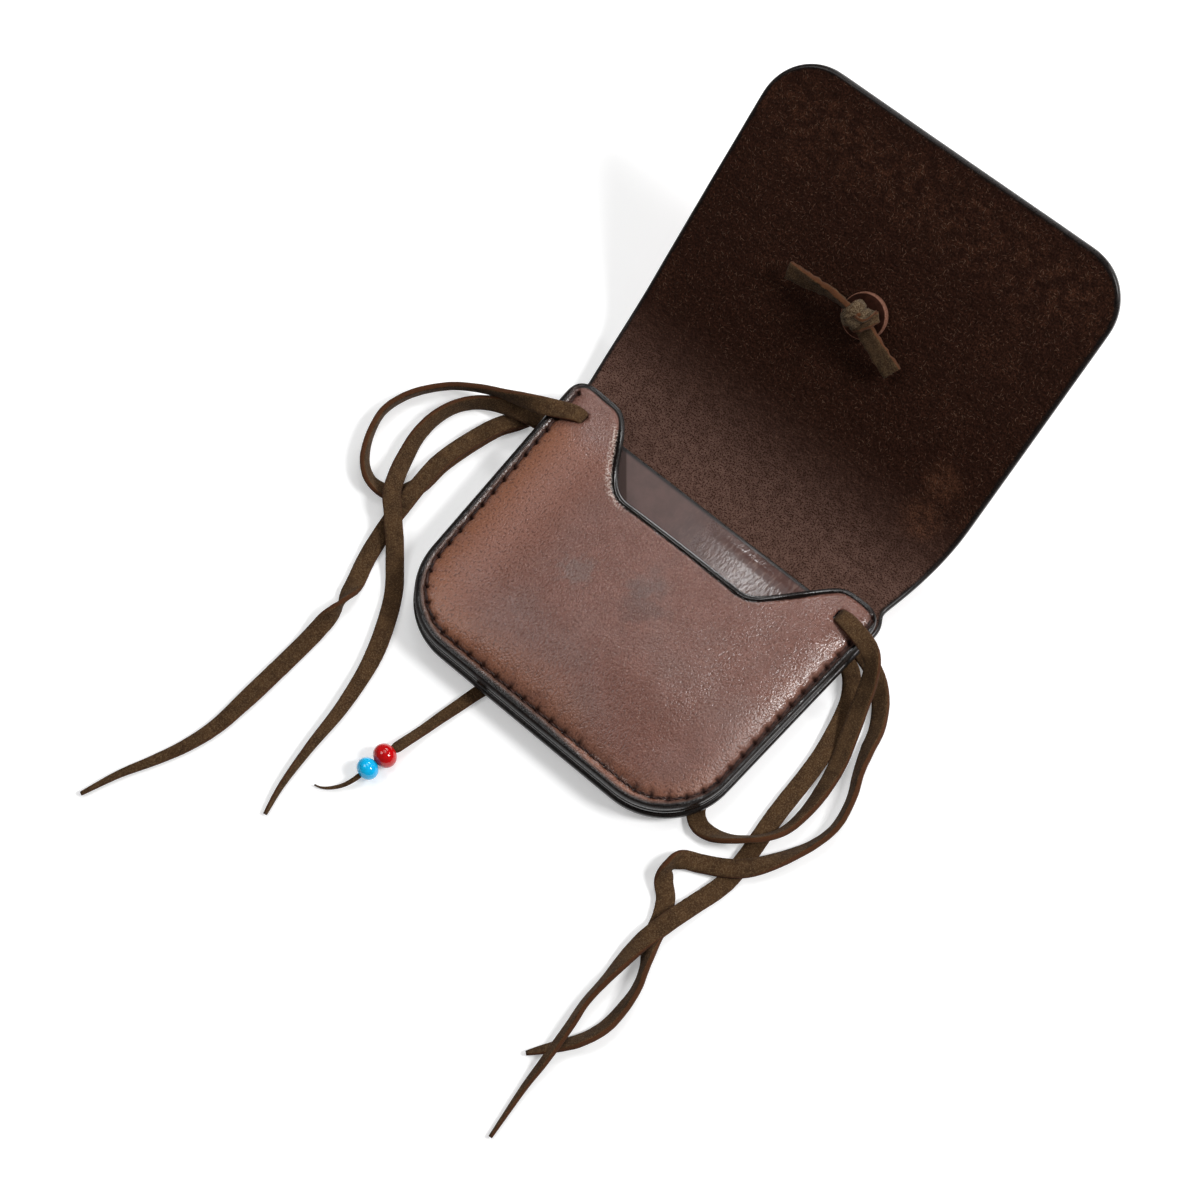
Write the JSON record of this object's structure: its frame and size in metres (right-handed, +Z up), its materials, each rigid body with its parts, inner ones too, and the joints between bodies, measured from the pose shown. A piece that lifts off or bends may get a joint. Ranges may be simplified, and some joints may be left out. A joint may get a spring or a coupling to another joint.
{
  "type": "leather belt pouch",
  "caption": "Flat stitched leather belt pouch with a scooped mouth, a long rounded flap that folds over the front, suede ties through the ears and a beaded closing thong.",
  "frame": {"origin": "under the middle of the leather, on the surface that the pouch lies on", "axes": "+Z up off the pouch's back, +Y from the pocket towards the open flap, X along the fold"},
  "size_m": [0.2013, 0.305, 0.0772],
  "materials": {
    "front_leather": "smooth waxed grain, mauve brown, burnished dark edges",
    "lining_leather": "smooth shiny grain, grey brown",
    "back_leather": "dark brown, rough flesh side on the inside, smooth grain outside",
    "thread": "waxed dark brown thread",
    "suede": "napped olive brown suede with raw cut edges",
    "washer_leather": "raw cut leather disc",
    "red_bead": "glossy opaque red",
    "blue_bead": "glossy opaque sky blue"
  },
  "bodies": {
    "pouch": {"front_panel": "front_leather", "back_lining": "lining_leather", "back_panel": "back_leather", "seam_thread": "thread", "left_tie": "suede", "right_tie": "suede", "closing_thong": "suede", "red_bead": "red_bead", "blue_bead": "blue_bead"},
    "flap": {"flap": "back_leather", "flap_tie": "suede", "knot_washer": "washer_leather"}
  },
  "joints": [
    {"name": "flap_hinge", "type": "hinge", "parent": "pouch", "child": "flap", "pos_m": [0, 0.00253, 0.0135], "axis": [1, 0, 0], "range_deg": [0, 137.6]}
  ]
}
